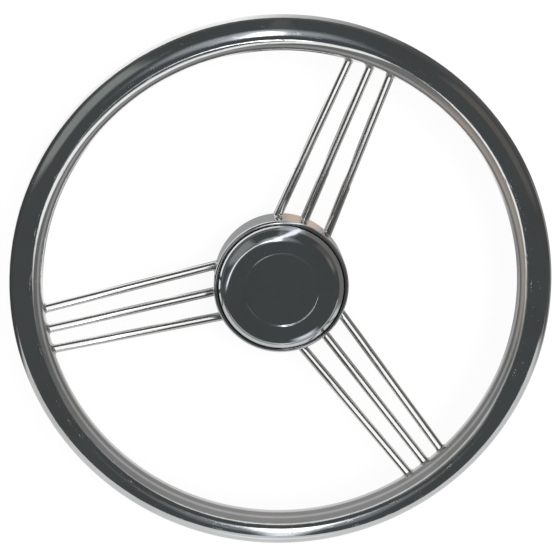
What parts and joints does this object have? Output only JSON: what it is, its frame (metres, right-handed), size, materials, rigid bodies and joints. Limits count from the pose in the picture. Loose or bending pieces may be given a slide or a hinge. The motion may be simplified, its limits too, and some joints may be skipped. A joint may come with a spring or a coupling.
{
  "type": "boat steering wheel",
  "caption": "Tubular ring rim on grouped straight rods, with a deep round hub cup, a push-in cap and a keyed, tapered shaft bore.",
  "frame": {"origin": "centre of the boss's back face, on the shaft axis, where the wheel stands when laid on its back", "axes": "+Z along the shaft axis towards the driver; +Y along the middle rod of one group and along the keyway"},
  "size_m": [0.35, 0.35, 0.063],
  "materials": {
    "polished_steel": "mirror-polished stainless steel with fine buffing marks",
    "pressed_steel": "pressed stainless sheet, mirror polished",
    "weld_steel": "small weld fillets, buffed with the wheel",
    "turned_steel": "turned stainless steel, fine tool marks",
    "o_ring_rubber": "black nitrile rubber"
  },
  "bodies": {
    "root": {"rim_tube": "polished_steel", "top_spoke_1": "polished_steel", "top_spoke_2": "polished_steel", "top_spoke_3": "polished_steel", "left_spoke_1": "polished_steel", "left_spoke_2": "polished_steel", "left_spoke_3": "polished_steel", "right_spoke_1": "polished_steel", "right_spoke_2": "polished_steel", "right_spoke_3": "polished_steel", "top_rim_welds": "weld_steel", "top_cup_welds": "weld_steel", "left_rim_welds": "weld_steel", "left_cup_welds": "weld_steel", "right_rim_welds": "weld_steel", "right_cup_welds": "weld_steel", "hub_cup": "polished_steel", "hub_boss": "turned_steel", "boss_weld": "weld_steel", "centre_cap": "pressed_steel", "cap_o_ring": "o_ring_rubber"}
  },
  "joints": []
}
